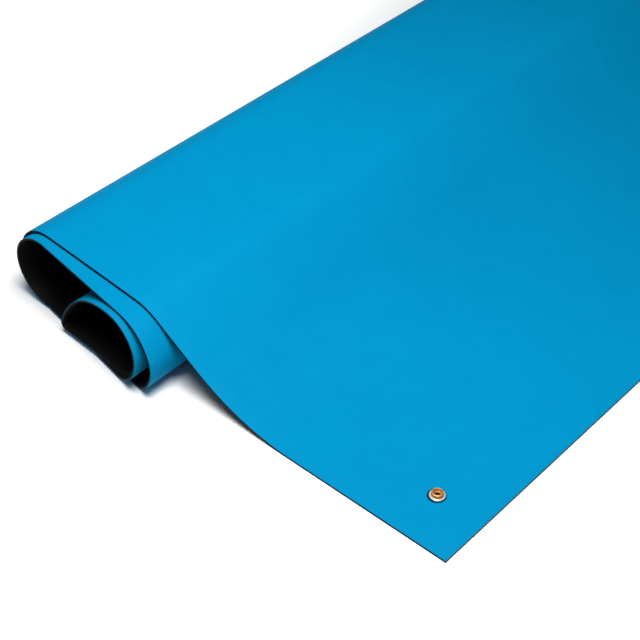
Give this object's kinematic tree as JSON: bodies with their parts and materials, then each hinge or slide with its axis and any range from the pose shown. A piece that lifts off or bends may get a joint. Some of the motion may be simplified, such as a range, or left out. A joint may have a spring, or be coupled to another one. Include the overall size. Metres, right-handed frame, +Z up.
{
  "type": "anti static bench mat",
  "caption": "Two-layer rubber bench mat with a snap stud near one corner, lying flat at one end and loosely rolled under itself at the other.",
  "frame": {"origin": "middle of the footprint, on the floor", "axes": "+Z up, +Y along the roll and away from the end with the snap stud, +X from the roll towards the flat end"},
  "size_m": [0.5052, 0.7962, 0.0825],
  "materials": {
    "top_layer": "matte blue static dissipative rubber with a fine grain",
    "base_layer": "matte black conductive rubber",
    "snap_stud": "plated brass, copper coloured on the boss",
    "snap_eyelet": "plated brass"
  },
  "bodies": {
    "root": {"top_layer": "top_layer", "base_layer": "base_layer", "snap_stud": "snap_stud", "snap_eyelet": "snap_eyelet"}
  },
  "joints": []
}
